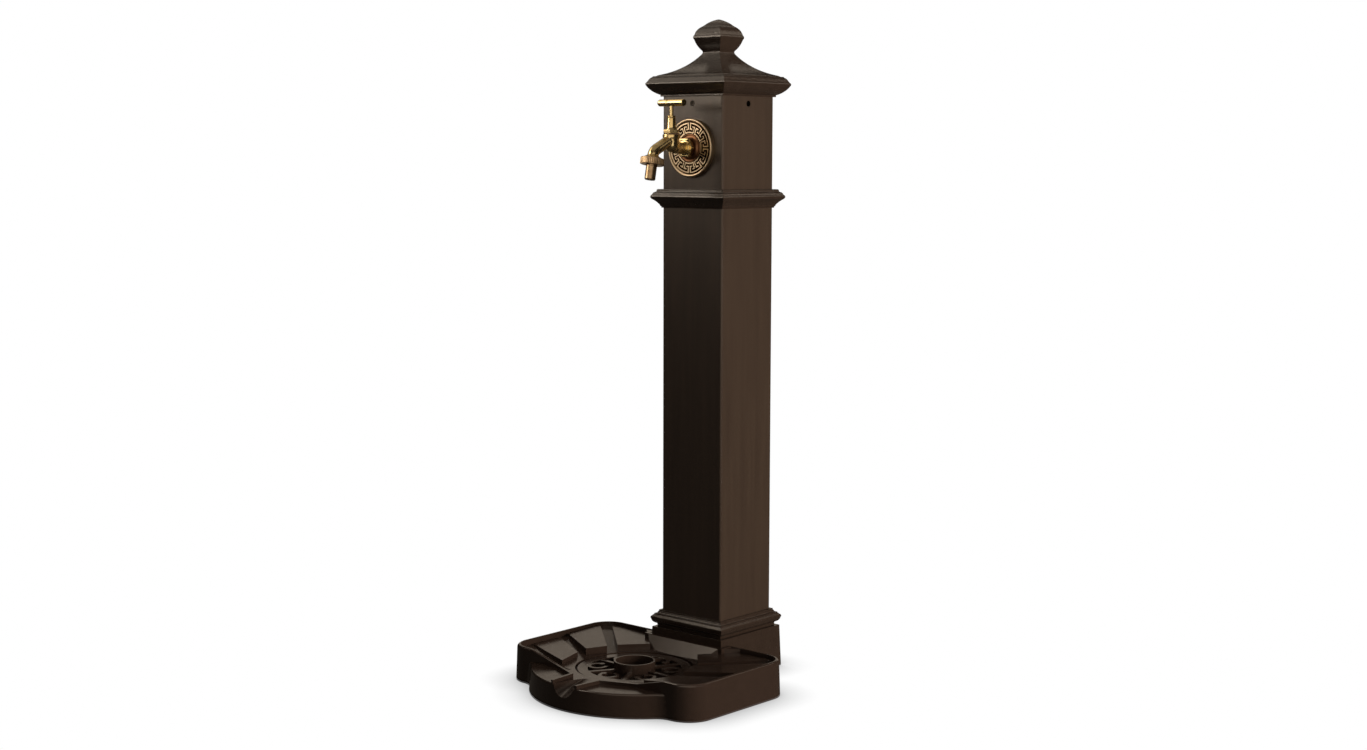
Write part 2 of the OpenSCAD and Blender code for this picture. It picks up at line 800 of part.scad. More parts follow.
module tap_lock_nut() {
    color(brass) facing_front(-column_in + lock_washer_t + lock_nut_t, tap_z) difference() {
        hex_bar(lock_nut_af, 0, lock_nut_t);
        rod(shank_r + thread_gap, -over_cut, lock_nut_t + over_cut);
    }
}

module tap_elbow() {
    color(dull_brass) difference() {
        union() {
            facing_front(-riser_y, tap_z) cylinder(r = elbow_r, h = elbow_socket - riser_y);
            translate([0, -riser_y, tap_z]) sphere(elbow_r);
            on_riser() rod(leg_r, leg_low, tap_z);
        }
        facing_front(-shank_end + over_cut, tap_z)
            cylinder(r = shank_r + thread_gap, h = elbow_socket - shank_end + 2 * over_cut);
        facing_front(-riser_y, tap_z) cylinder(r = pipe_bore_r, h = elbow_socket - riser_y);
        on_riser() {
            rod(pipe_bore_r, leg_low, tap_z);
            rod(riser_r + thread_gap, leg_low - over_cut, leg_low + pipe_stop);
        }
    }
}

// Olive of a compression joint between a leg's end and the nut's lip
module olive(low) {
    color(brass) on_riser() difference() {
        rod(olive_r, low, low + olive_h);
        rod(riser_r + olive_gap, low - over_cut, low + olive_h + over_cut);
    }
}

// Nut of a compression joint, its lip at the lower end
module compression_nut(low) {
    color(dull_brass) on_riser() difference() {
        hex_bar(comp_nut_af, low, low + comp_nut_h);
        rod(leg_r + thread_gap, low + comp_nut_lip, low + comp_nut_h + over_cut);
        rod(riser_r + slip, low - over_cut, low + comp_nut_h);
    }
}

module elbow_olive() {
    olive(leg_low - olive_h);
}

module elbow_nut() {
    compression_nut(leg_low - olive_h - comp_nut_lip);
}

module riser_pipe() {
    color(copper) on_riser() difference() {
        rod(riser_r, inlet_leg_top - pipe_stop, leg_low + pipe_stop);
        rod(riser_r - riser_wall, inlet_leg_top - pipe_stop - over_cut, leg_low + pipe_stop + over_cut);
    }
}

module inlet_olive() {
    olive(inlet_leg_top);
}

module inlet_nut() {
    turn_over = inlet_leg_top + olive_h + comp_nut_lip;
    translate([0, 0, turn_over]) mirror([0, 0, 1]) compression_nut(0);
}

module inlet_connector() {
    groove_top = plinth_h - plinth_wall - lock_nut_t - 1;
    color(dull_brass) on_riser() difference() {
        union() {
            rod(shank_r, groove_top, plinth_h);
            rod(inlet_groove_r, groove_top - inlet_groove_t, groove_top);
            rod(shank_r, inlet_low, groove_top - inlet_groove_t);
            hex_bar(inlet_hex_af, plinth_h, plinth_h + inlet_hex_h);
            rod(leg_r, plinth_h + inlet_hex_h, inlet_leg_top);
        }
        rod(pipe_bore_r, inlet_low - over_cut, inlet_leg_top);
        rod(riser_r + thread_gap, inlet_leg_top - pipe_stop, inlet_leg_top + over_cut);
    }
}

module inlet_lock_nut() {
    top = plinth_h - plinth_wall;
    color(brass) on_riser() difference() {
        hex_bar(lock_nut_af, top - lock_nut_t, top);
        rod(shank_r + thread_gap, top - lock_nut_t - over_cut, top + over_cut);
    }
}

// Slab with round corners whose sides follow a profile of [inset, height] points
module profiled_slab(half_w, front, back, r, profile) {
    n = len(profile);
    low = profile[0][1];
    high = profile[n - 1][1];
    down = [for (i = [1:n]) profile[n - i]];
    rotate([90, 0, 0]) translate([0, 0, -back + r]) linear_extrude(back - front - 2 * r)
        polygon(concat([for (p = profile) [half_w - p[0], p[1]]], [for (p = down) [p[0] - half_w, p[1]]]));
    rotate([90, 0, 90]) linear_extrude(2 * (half_w - r), center = true)
        polygon(concat([for (p = profile) [back - p[0], p[1]]], [for (p = down) [front + p[0], p[1]]]));
    for (x = [-1, 1], y = [front + r, back - r]) translate([x * (half_w - r), y, 0])
        rotate_extrude() polygon(concat([[0, low]], [for (p = profile) [r - p[0], p[1]]], [[0, high]]));
}

// Plan of the tray inside its rim, set in by a margin, without the walled notch for the plinth
module dish_plan(margin) {
    inset = tray_draft + tray_wall + margin;
    r = tray_corner_r - inset;
    half_w = tray_half_w - inset;
    front = -tray_front + inset;
    back = -tray_back - inset;
    difference() {
        union() {
            translate([-half_w, front + r]) square([2 * half_w, back - front - 2 * r]);
            translate([-half_w + r, front]) square([2 * (half_w - r), back - front]);
            for (x = [-1, 1], y = [front + r, back - r]) translate([x * (half_w - r), y]) circle(r);
        }
        translate([-notch_half - tray_wall, -notch_front - tray_wall])
            square([2 * (notch_half + tray_wall), notch_front + tray_wall]);
    }
}

// Solid of revolution about the dish's centre between a sloping top and the ground
module cone_under(z, slope) {
    translate(dish_centre) rotate_extrude()
        polygon([[0, 0], [far, 0], [far, z + slope * (far - recess_r)], [recess_r, z], [0, z]]);
}

module cone_above(z, slope) {
    high = tray_h + slope * far;
    translate(dish_centre) rotate_extrude()
        polygon([[0, z], [recess_r, z], [far, z + slope * (far - recess_r)], [far, high], [0, high]]);
}

function side_start(side) = polar(recess_r + side[1], side[0]);
function side_end(side) = side_start(side) + polar(far, side[2]);

// Flat-topped pads on both sides of the dish, parted by grooves
module pads() {
    for (pad = pad_list) intersection() {
        cone_under(pad[0], pad_slope);
        linear_extrude(tray_h) intersection() {
            dish_plan(pad_margin);
            for (turn = [0, 1]) mirror([turn, 0]) translate([0, -grate_y])
                polygon([side_start(pad[1]), side_end(pad[1]), side_end(pad[2]), side_start(pad[2])]);
        }
    }
}

// Steep bank between the plinth's notch and the recess
module ramp() {
    crest = -notch_front - tray_wall;
    foot = crest - ramp_run;
    back = -tray_back - tray_wall;
    edge = pad_list[0][1];
    from = side_start(edge);
    to = side_end(edge);
    intersection() {
        rotate([90, 0, 90]) linear_extrude(far, center = true) polygon([
            [foot, floor_z - over_cut], [foot, floor_z], [crest, tray_h - over_cut],
            [back, tray_h - over_cut], [back, floor_z - over_cut]]);
        linear_extrude(tray_h) translate([0, -grate_y])
            polygon([[0, 0], from, to, [-to[0], to[1]], [-from[0], from[1]]]);
    }
}

module step_plan(inset) {
    translate([0, -step_y]) circle(step_r - inset);
}

// The round step that stands out at the front
module front_step() {
    intersection() {
        translate([0, -step_y, 0]) rotate_extrude() polygon(concat(
            [[0, 0], [step_r, 0]],
            arc(step_r - step_draft - step_round, step_h - step_round, step_round, 0, 90, 4),
            [[0, step_h]]));
        translate([-far, -far, 0]) cube([2 * far, far - tray_front + tray_wall, tray_h]);
    }
}

// Hollow rounds that lead the step's wall into the tray's corners
module step_fillets() {
    centre = [fillet_x, fillet_y];
    to_step = [0, -step_y] - centre;
    inside = centre + to_step * (fillet_r + 2 * tray_wall) / norm(to_step);
    back = -tray_front + tray_wall;
    brow = fillet_r + step_draft + step_round;
    for (turn = [0, 1]) mirror([turn, 0, 0]) difference() {
        linear_extrude(step_h) polygon([centre, [fillet_x, back], [fillet_x - fillet_r, back], inside]);
        translate(centre) rotate_extrude() polygon(concat(
            [[0, -over_cut], [fillet_r, -over_cut], [fillet_r, 0]],
            arc(brow, step_h - step_round, step_round, 180, 90, 4),
            [[brow, step_h + over_cut], [0, step_h + over_cut]]));
    }
}

// Low walls that lead from the front wall to the channel and on along both of its sides
module channel_lips() {
    intersection() {
        linear_extrude(lip_top) for (turn = [0, 1]) mirror([turn, 0]) polygon([
            [funnel_x, -tray_front + tray_draft], [channel_r + lip_splay + lip_w, -funnel_y],
            [channel_r + lip_w, -mouth_y], [channel_r, -mouth_y],
            [channel_r + lip_splay, -funnel_y + lip_w / 2], [funnel_x, -tray_front + tray_wall]]);
        linear_extrude(lip_top) step_plan(step_draft);
    }
}

// Round-bottomed channel that falls from the dish's floor to the mouth
module channel() {
    lead = channel_r;
    run = (mouth_y - grate_y - recess_r) / cos(channel_fall) + lead;
    translate([0, -mouth_y, lip_top]) rotate([channel_fall - 90, 0, 0]) rod(channel_r, -lead, run);
}

// Hollows under the dish's floor, the step and the sump
module tray_hollow() {
    intersection() {
        translate([0, 0, -over_cut]) linear_extrude(tray_h) difference() {
            dish_plan(0);
            translate([0, -grate_y]) circle(sump_ring_r);
        }
        translate([0, 0, -floor_t]) cone_under(floor_z, floor_slope);
    }
    translate([0, 0, -over_cut]) linear_extrude(step_h - tray_wall + over_cut) difference() {
        step_plan(tray_wall);
        translate([-far, -tray_front + tray_wall]) square([2 * far, far]);
        translate([0, -grate_y]) circle(sump_ring_r);
        translate([-channel_r - lip_w, -mouth_y]) square([2 * (channel_r + lip_w), step_r]);
    }
    translate(dish_centre) rod(sump_r, -over_cut, sump_z - sump_wall);
}

// What the front wall's top loses: it falls from the corners to the funnel and opens into it
module front_dip() {
    high = tray_h + over_cut;
    depth = tray_wall + tray_draft + over_cut;
    translate([0, -tray_front + depth, 0]) rotate([90, 0, 0]) linear_extrude(depth + over_cut) polygon([
        [-wall_rise_x, high], [-wall_rise_x, tray_h], [-funnel_x, lip_top], [-funnel_x + lip_w, step_h],
        [funnel_x - lip_w, step_h], [funnel_x, lip_top], [wall_rise_x, tray_h], [wall_rise_x, high]]);
}

module tray() {
    rim = concat([[0, 0]], arc(tray_draft + rim_round, tray_h - rim_round, rim_round, 180, 90, 4));
    color(coat) difference() {
        union() {
            difference() {
                profiled_slab(tray_half_w, -tray_front, -tray_back, tray_corner_r, rim);
                intersection() {
                    linear_extrude(2 * tray_h) dish_plan(0);
                    cone_above(floor_z, floor_slope);
                }
                front_dip();
            }
            pads();
            ramp();
            front_step();
            step_fillets();
            channel_lips();
            translate(dish_centre) rod(sump_ring_r, 0, floor_z);
        }
        translate(dish_centre) {
            rod(recess_r, recess_z, 2 * tray_h);
            rod(sump_r, sump_z, recess_z + over_cut);
            rod(drain_d / 2, 0, sump_z + over_cut);
        }
        channel();
        tray_hollow();
        translate([-notch_half, -notch_front, -over_cut])
            cube([2 * notch_half, notch_front, tray_h + 2 * over_cut]);
        for (x = [-1, 1]) translate([x * bolt_x, 0, 0]) facing_front(-notch_front + over_cut, bolt_z)
            cylinder(r = bolt_hole_r, h = tray_wall + 2 * over_cut);
    }
}

module grate() {
    r = grate_d / 2;
    cup_r = cup_d / 2;
    pitch = 360 / spoke_count;
    color(coat) translate([0, -grate_y, recess_z]) difference() {
        union() {
            linear_extrude(grate_t) {
                difference() {
                    circle(r);
                    circle(r - grate_ring);
                }
                for (i = [0:spoke_count - 1]) rotate(i * pitch) {
                    translate([cup_r - cup_wall / 2, -spoke_w / 2])
                        square([r - grate_ring / 2 - cup_r + cup_wall / 2, spoke_w]);
                    rotate(pitch / 2) translate([curl_at, 0]) {
                        difference() {
                            circle(curl_r);
                            circle(curl_r - curl_w);
                            polygon([[0, 0], polar(2 * curl_r, 180), polar(2 * curl_r, 180 + curl_gap)]);
                        }
                        translate(polar(curl_r - curl_w / 2, 180 + curl_gap)) circle(curl_ball_r);
                    }
                }
            }
            cylinder(r = cup_r, h = grate_t + cup_h);
        }
        rod(cup_r - cup_wall, -over_cut, grate_t + cup_h + over_cut);
    }
}

module tray_bolts() {
    inner = plinth_in - bolt_nut_t - bolt_end;
    grip = notch_front + tray_wall - inner;
    color(steel) for (x = [-1, 1]) translate([x * bolt_x, 0, 0]) facing_front(-inner, bolt_z) {
        cylinder(r = bolt_r, h = grip);
        hex_bar(bolt_af, grip, grip + bolt_head_t);
    }
}

module tray_nuts() {
    color(steel) for (x = [-1, 1]) translate([x * bolt_x, 0, 0])
        facing_front(-plinth_in + bolt_nut_t, bolt_z) difference() {
            hex_bar(bolt_af, 0, bolt_nut_t);
            rod(bolt_r + thread_gap, -over_cut, bolt_nut_t + over_cut);
        }
}

plinth();
base_collar();
base_screws();
column_tube();
upper_collar();
cap();
cap_screws();
rosette();
tap_body();
bonnet();
bonnet_washer();
gland_nut();
gland_packing();
spindle();
t_bar();
jumper();
tap_washer();
washer_nut();
hose_nut();
hose_tail();
hose_washer();
lock_washer();
tap_lock_nut();
tap_elbow();
elbow_olive();
elbow_nut();
riser_pipe();
inlet_olive();
inlet_nut();
inlet_connector();
inlet_lock_nut();
tray();
grate();
tray_bolts();
tray_nuts();
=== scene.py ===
# %% [markdown]
# # A garden standpipe
# A square column of coated aluminium carries a cast roof cap, two moulded collars, a brass bib tap on a
# bronze rosette, and a drip tray with a lift-out grate. The CAD model already gives every piece its place
# and size, so this lesson only dresses it: softened edges, finishes, light and a camera. Everything is in
# metres. Values that are easier to picture in millimetres are written so and multiplied by MM.

# %% Load the frame
import json
import math

import bmesh
import bpy
from mathutils import Matrix, Vector


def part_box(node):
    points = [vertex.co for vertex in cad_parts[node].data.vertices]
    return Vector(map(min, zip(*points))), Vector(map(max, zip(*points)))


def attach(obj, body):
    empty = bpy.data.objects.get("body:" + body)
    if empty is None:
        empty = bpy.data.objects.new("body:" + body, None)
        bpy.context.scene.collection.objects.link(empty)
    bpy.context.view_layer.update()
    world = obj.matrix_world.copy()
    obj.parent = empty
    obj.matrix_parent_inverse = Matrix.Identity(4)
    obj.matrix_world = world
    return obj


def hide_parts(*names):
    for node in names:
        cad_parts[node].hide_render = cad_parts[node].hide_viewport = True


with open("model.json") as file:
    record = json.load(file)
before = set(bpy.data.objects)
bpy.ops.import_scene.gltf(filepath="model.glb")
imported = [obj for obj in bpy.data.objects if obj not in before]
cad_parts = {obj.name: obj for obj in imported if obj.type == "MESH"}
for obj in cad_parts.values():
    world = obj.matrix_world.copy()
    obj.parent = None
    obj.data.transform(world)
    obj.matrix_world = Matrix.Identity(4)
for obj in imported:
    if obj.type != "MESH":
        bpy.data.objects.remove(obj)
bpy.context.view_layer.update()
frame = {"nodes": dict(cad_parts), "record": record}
record = frame["record"]
slot_of = {row["node"]: row["material_slot"] for row in record["subparts"]}
body_of = {node: body for body, nodes in record["behaviour"]["bodies"].items() for node in nodes}
MM = 0.001
print("nodes in the frame:", len(frame["nodes"]))

# %% [markdown]
# ## The places that the finishes need
# The rosette's patina and the lamps are set out from the tap's axis and the column's height. These could
# be typed in as numbers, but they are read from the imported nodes, so that a pattern stays on its piece
# when the CAD sizes change.

# %% Places
column_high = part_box("column_tube")[1]
rosette_low, rosette_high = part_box("rosette")
face_y = rosette_high.y
tap_z = (rosette_low.z + rosette_high.z) / 2
print("column face at y", round(face_y, 4), "tap axis at z", round(tap_z, 4))


# %% [markdown]
# ## Colours and nodes
# Colours are written as the hex values that a picture shows, and one function turns them into the linear
# values that the renderer works with. A second small function adds a shader node with its settings and
# links, so that a material reads as a list of what it is made of. Pattern sizes are given in millimetres
# of the real surface.

# %% Helpers for materials
def linear(hex_code):
    values = [int(hex_code[i:i + 2], 16) / 255 for i in (1, 3, 5)]
    return [v / 12.92 if v <= 0.04045 else ((v + 0.055) / 1.055) ** 2.4 for v in values] + [1.0]


def add(tree, kind, inputs, **settings):
    node = tree.nodes.new("ShaderNode" + kind)
    for name, value in settings.items():
        setattr(node, name, value)
    for key, value in inputs.items():
        socket = node.inputs[key]
        if isinstance(value, bpy.types.NodeSocket):
            tree.links.new(value, socket)
        else:
            socket.default_value = value
    return node


def per_mm(size):
    return 1 / (size * MM)


def new_finish(name):
    finish = bpy.data.materials.new(name)
    finish.use_nodes = True
    finish.node_tree.nodes.clear()
    return finish, finish.node_tree


# A Mix node has a set of sockets for each kind of value. These are the numbers of its colour sockets
COLOUR_A, COLOUR_B, COLOUR_OUT = 6, 7, 2
print("mid grey in linear light:", round(linear("#808080")[0], 3))


# %% [markdown]
# ## Powder coat
# The column, the castings and the tray all wear the same dark brown powder coat. Sprayed powder melts into
# a skin with a slight orange peel, and over a sand casting it keeps the casting's pits. An image could be
# wrapped round each piece, but noise on the object's own coordinates needs no unwrapping and keeps its
# real size everywhere. The three finishes share one recipe and differ in the size and depth of the texture
# and in how smooth the skin is.

# %% Powder coat
CLOUD_SIZE = 14
SMOOTHER, ROUGHER = 0.08, 0.1


def powder_coat(name, base, worn, roughness, grain, depth, streak):
    finish, tree = new_finish(name)
    place = add(tree, "TexCoord", {}).outputs["Object"]
    stretched = add(tree, "Mapping", {"Vector": place, "Scale": streak}).outputs[0]
    cloud = add(tree, "TexNoise", {
        "Vector": stretched, "Scale": per_mm(CLOUD_SIZE), "Detail": 4.0, "Roughness": 0.6})
    colour = add(tree, "Mix", {
        0: cloud.outputs["Fac"], COLOUR_A: linear(base), COLOUR_B: linear(worn)}, data_type="RGBA")
    grit = add(tree, "TexNoise", {
        "Vector": place, "Scale": per_mm(grain), "Detail": 3.0, "Roughness": 0.55})
    rough = add(tree, "MapRange", {
        "Value": grit.outputs["Fac"], "To Min": roughness - SMOOTHER, "To Max": roughness + ROUGHER})
    bump = add(tree, "Bump", {"Height": grit.outputs["Fac"], "Distance": depth * MM, "Strength": 1.0})
    coat = add(tree, "BsdfPrincipled", {
        "Base Color": colour.outputs[COLOUR_OUT], "Roughness": rough.outputs[0],
        "Normal": bump.outputs["Normal"]})
    add(tree, "OutputMaterial", {"Surface": coat.outputs[0]})
    return finish


ALONG = (1.0, 1.0, 0.06)
EVEN = (1.0, 1.0, 1.0)
finishes = {}
# Satin brown with faint upright runs. Its orange peel of about 0.5 mm is drawn at 1.6 mm, or it would not
# show
finishes["coat_column"] = powder_coat(
    "powder_coat_on_extrusion", "#392b22", "#514032",
    roughness=0.37, grain=1.6, depth=0.10, streak=ALONG)
# A little darker and pitted, so that bright specks sit along its mouldings
finishes["coat_cast"] = powder_coat(
    "powder_coat_on_sand_casting", "#34271e", "#403127",
    roughness=0.22, grain=3.2, depth=0.5, streak=EVEN)
# Smooth and glossy, with clear reflections on the pads and thin bright lines on the edges
finishes["coat_tray"] = powder_coat(
    "powder_coat_on_smooth_casting", "#382a21", "#3f2f26",
    roughness=0.2, grain=6.0, depth=0.03, streak=EVEN)
coats = sorted(finishes)
print("coats:", coats)


# %% [markdown]
# ## Metals, rubber and fibre
# The tap is turned and polished brass. The union nut and the hidden fittings are duller brass, the riser
# is drawn copper, and the screws are steel with a black oxide skin. Each could have a recipe of its own,
# but a metal takes its look from its colour and roughness alone, so one recipe only breaks both up: a
# cloudy tarnish in the colour, and fine turning marks in the roughness. The washers use it too, with no
# metal in the shader.

# %% Metals and soft washers
TARNISH_FROM, TARNISH_TO = 0.35, 0.75
MARK_SMOOTHER, MARK_ROUGHER = 0.06, 0.08
MARK_DEPTH = 0.006


def metal(name, bright, tarnished, roughness, cloud_size, mark_size, metallic=1.0):
    finish, tree = new_finish(name)
    place = add(tree, "TexCoord", {}).outputs["Object"]
    cloud = add(tree, "TexNoise", {
        "Vector": place, "Scale": per_mm(cloud_size), "Detail": 5.0, "Roughness": 0.6})
    share = add(tree, "MapRange", {
        "Value": cloud.outputs["Fac"], "From Min": TARNISH_FROM, "From Max": TARNISH_TO})
    colour = add(tree, "Mix", {
        0: share.outputs[0], COLOUR_A: linear(bright), COLOUR_B: linear(tarnished)}, data_type="RGBA")
    marks = add(tree, "TexNoise", {"Vector": place, "Scale": per_mm(mark_size), "Detail": 2.0})
    rough = add(tree, "MapRange", {
        "Value": marks.outputs["Fac"],
        "To Min": roughness - MARK_SMOOTHER, "To Max": roughness + MARK_ROUGHER})
    bump = add(tree, "Bump", {
        "Height": marks.outputs["Fac"], "Distance": MARK_DEPTH * MM, "Strength": 1.0})
    surface = add(tree, "BsdfPrincipled", {
        "Base Color": colour.outputs[COLOUR_OUT], "Metallic": metallic, "Roughness": rough.outputs[0],
        "Normal": bump.outputs["Normal"]})
    add(tree, "OutputMaterial", {"Surface": surface.outputs[0]})
    return finish


# Pale yellow with sharp highlights. The turning marks of about 0.1 mm are drawn at 0.8 mm to show at all
finishes["brass"] = metal(
    "polished_brass", "#ecd8a4", "#cdb078", roughness=0.22, cloud_size=9, mark_size=0.8)
# Browner and softer: highlights spread, as on a cast nut that is left unpolished
finishes["dull_brass"] = metal(
    "turned_dull_brass", "#bca586", "#927a5c", roughness=0.34, cloud_size=6, mark_size=0.7)
# Warm red with a brown bloom from handling
finishes["copper"] = metal(
    "drawn_copper", "#c77a4e", "#8f5232", roughness=0.3, cloud_size=20, mark_size=1.2)
# Nearly black, with a small glint
finishes["steel"] = metal(
    "black_oxide_steel", "#2a2724", "#161412", roughness=0.32, cloud_size=5, mark_size=0.6)
# Dead black and matt
finishes["rubber"] = metal(
    "moulded_rubber", "#232323", "#2e2d2c", roughness=0.7, cloud_size=4, mark_size=0.8, metallic=0.0)
# Brown board, matt, seen as a thin dark line under the bonnet
finishes["fibre"] = metal(
    "pressed_fibre", "#4a3426", "#3a281c", roughness=0.75, cloud_size=3, mark_size=0.5, metallic=0.0)
print("metals and washers:", sorted(set(finishes) - set(coats)))


# %% [markdown]
# ## Antique bronze
# The rosette is cast, darkened with a brown patina, and then rubbed so that the raised fret, the rope
# border and the top of the dome shine. A mask could be painted for that. But on the real one the rub
# reaches only what stands proud, so the material measures how high a point is above the column's face and
# how far it is from the tap's axis, and lets the patina stay in the hollows.

# %% Antique bronze
BAND_HEIGHT, KEY_TOP = 5.0, 6.2
DOME_EDGE, RIM_EDGE = 19.0, 36.2
STEP_MARGIN = 0.4
EDGE_FADE = 0.6
CAST_GRAIN, CAST_DEPTH = 2.5, 0.12


def antique_bronze():
    finish, tree = new_finish("antique_bronze")
    place = add(tree, "TexCoord", {}).outputs["Object"]
    xyz = add(tree, "SeparateXYZ", {"Vector": place}).outputs
    height = add(tree, "MapRange", {
        "Value": xyz["Y"], "From Min": face_y - (BAND_HEIGHT + STEP_MARGIN) * MM,
        "From Max": face_y - (KEY_TOP - STEP_MARGIN) * MM})
    noise = add(tree, "TexNoise", {
        "Vector": place, "Scale": per_mm(CAST_GRAIN), "Detail": 4.0, "Roughness": 0.65})
    beside = add(tree, "Mapping", {
        "Vector": place, "Location": (0.0, 0.0, -tap_z), "Scale": (1.0, 0.0, 1.0)})
    out = add(tree, "VectorMath", {0: beside.outputs[0]}, operation="LENGTH").outputs["Value"]
    dome, rim = [add(tree, "MapRange", {
        "Value": out, "From Min": edge * MM, "From Max": (edge + EDGE_FADE) * MM})
        for edge in (DOME_EDGE, RIM_EDGE)]
    proud = add(tree, "Math", {0: height.outputs[0], 1: dome.outputs[0]}, operation="MULTIPLY")
    rubbed = add(tree, "Math", {0: proud.outputs[0], 1: rim.outputs[0]}, operation="MAXIMUM")
    patina = add(tree, "Mix", {
        0: dome.outputs[0], COLOUR_A: linear("#70503a"), COLOUR_B: linear("#1c1008")}, data_type="RGBA")
    colour = add(tree, "Mix", {
        0: rubbed.outputs[0], COLOUR_A: patina.outputs[COLOUR_OUT], COLOUR_B: linear("#cfbb9e")},
        data_type="RGBA")
    rough = add(tree, "MapRange", {"Value": noise.outputs["Fac"], "To Min": 0.26, "To Max": 0.44})
    bump = add(tree, "Bump", {
        "Height": noise.outputs["Fac"], "Distance": CAST_DEPTH * MM, "Strength": 1.0})
    surface = add(tree, "BsdfPrincipled", {
        "Base Color": colour.outputs[COLOUR_OUT], "Metallic": 1.0, "Roughness": rough.outputs[0],
        "Normal": bump.outputs["Normal"]})
    add(tree, "OutputMaterial", {"Surface": surface.outputs[0]})
    return finish


# Pale rubbed lines on a nearly black ground, and a red brown dome
finishes["bronze"] = antique_bronze()
for name, node in frame["nodes"].items():
    node.data.materials.clear()
    node.data.materials.append(finishes[slot_of[name]])
print("finishes:", sorted(finishes))

# %% [markdown]
# ## Softened edges
# No cast or coated edge is truly sharp: each one is rounded by about a millimetre or less, and that
# rounding is what catches the light. A Bevel modifier alone would find no edges to round, because the CAD
# model's triangles are loose. So each visible node is copied, its triangles are merged and dissolved into
# whole faces, and the edges that turn more than a set angle are bevelled. Weighted normals keep the broad
# faces flat in the light. The copy then stands for the node.

# %% Softened copies of the visible nodes
MERGE = 0.002 * MM
FLAT_TURN = math.radians(0.5)
BEVEL_TURN = math.radians(28)
CREASE_TURN = math.radians(40)


def merged_copy(node):
    bm = bmesh.new()
    bm.from_mesh(frame["nodes"][node].data)
    bmesh.ops.remove_doubles(bm, verts=bm.verts, dist=MERGE)
    return bm


def finished(name, bm, slot, body, *nodes):
    for face in bm.faces:
        face.smooth = True
    mesh = bpy.data.meshes.new(name)
    bm.to_mesh(mesh)
    bm.free()
    mesh.materials.append(finishes[slot])
    piece = bpy.data.objects.new(name, mesh)
    bpy.context.scene.collection.objects.link(piece)
    if nodes:
        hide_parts(*nodes)
    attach(piece, body)
    return piece


def softened(node, width):
    bm = merged_copy(node)
    bmesh.ops.dissolve_limit(bm, angle_limit=FLAT_TURN, verts=bm.verts, edges=bm.edges)
    turned = [e for e in bm.edges if e.is_manifold and e.calc_face_angle() > BEVEL_TURN]
    bmesh.ops.bevel(bm, geom=turned, offset=width * MM, offset_type="OFFSET", affect="EDGES",
                    segments=2, profile=0.5, clamp_overlap=True, material=-1)
    piece = finished(node + "_finished", bm, slot_of[node], body_of[node], node)
    piece.data.set_sharp_from_angle(angle=CREASE_TURN)
    normals = piece.modifiers.new("flat_faces_stay_flat", "WEIGHTED_NORMAL")
    normals.keep_sharp = True
    return piece


# Widths in millimetres
EDGE_WIDTH = {
    "plinth": 1.0, "base_collar": 0.4, "column_tube": 0.5, "upper_collar": 0.4, "cap": 0.5,
    "cap_screws": 0.3, "rosette": 0.2, "bonnet": 0.3, "gland_nut": 0.2, "spindle": 0.2, "t_bar": 0.3,
    "hose_nut": 0.2, "hose_tail": 0.3, "tray": 1.1, "grate": 0.6}
for node, width in EDGE_WIDTH.items():
    piece = softened(node, width)
    print(piece.name, len(piece.data.polygons), "faces")

# %% [markdown]
# ## The tap's body
# The body is one hot-pressed brass forging: where the spout, the barrel and the neck meet, the metal runs
# over in soft fillets. The CAD solid has sharp meetings there. A bevel could round them, but a forging's
# fillets are wide and run into each other. So a voxel remesh turns the copy into an even skin, and a few
# rounds of smoothing draw that skin over the meetings as the forging die did.

# %% Forged tap body
SKIN_SIZE = 0.55
ROUNDS = 9
tap = finished(
    "tap_body_finished", merged_copy("tap_body"), slot_of["tap_body"], body_of["tap_body"], "tap_body")
skin = tap.modifiers.new("even_skin", "REMESH")
skin.mode = "VOXEL"
skin.voxel_size = SKIN_SIZE * MM
skin.use_smooth_shade = True
fillets = tap.modifiers.new("forged_fillets", "SMOOTH")
fillets.factor = 0.5
fillets.iterations = ROUNDS
print("tap body skin", SKIN_SIZE, "mm")

# %% [markdown]
# ## The rope border
# The rosette's rim is cast as a rope: short slanted strands that lie over a round bead. The CAD model has
# the bead, and the strands are laid on it here, each one a stretched ball turned out of the rim's
# direction, because dozens of them would make the CAD solid heavy for a detail this small.

# %% Rope strands
ROPE_R, ROPE_RISE, STRANDS = 38.3, 4.6, 60
STRAND_SIZE = (1.25 * MM, 2.1 * MM, 2.3 * MM)
SLANT = math.radians(38)
rope_bm = bmesh.new()
rope_centre = Matrix.Translation((0, face_y - ROPE_RISE * MM, tap_z))
for i in range(STRANDS):
    place = rope_centre @ Matrix.Rotation(2 * math.pi * i / STRANDS, 4, "Y")
    place = place @ Matrix.Translation((ROPE_R * MM, 0, 0)) @ Matrix.Rotation(SLANT, 4, "Y")
    bmesh.ops.create_uvsphere(rope_bm, u_segments=8, v_segments=6, radius=1.0,
                              matrix=place @ Matrix.Diagonal((*STRAND_SIZE, 1.0)))
rope = finished("rosette_rope", rope_bm, "bronze", "root")
print(rope.name, "with", STRANDS, "strands")

# %% [markdown]
# ## A white studio
# The photograph shows the standpipe on seamless white with only a soft shadow close to the tray. Lighting
# a floor until it is white would also flood the object, so the world and the floor are white only where a
# camera, mirror or glass ray meets them. For all other rays the world is dim.

# %% World
AMBIENT = 0.055
WHITE = linear("#ffffff")
scene = bpy.context.scene
scene.view_settings.view_transform = "Standard"


def seen_directly(tree):
    path = add(tree, "LightPath", {}).outputs
    seen = add(tree, "Math", {0: path["Is Camera Ray"], 1: path["Is Glossy Ray"]}, operation="MAXIMUM")
    both = {0: seen.outputs[0], 1: path["Is Transmission Ray"]}
    return add(tree, "Math", both, operation="MAXIMUM").outputs[0]


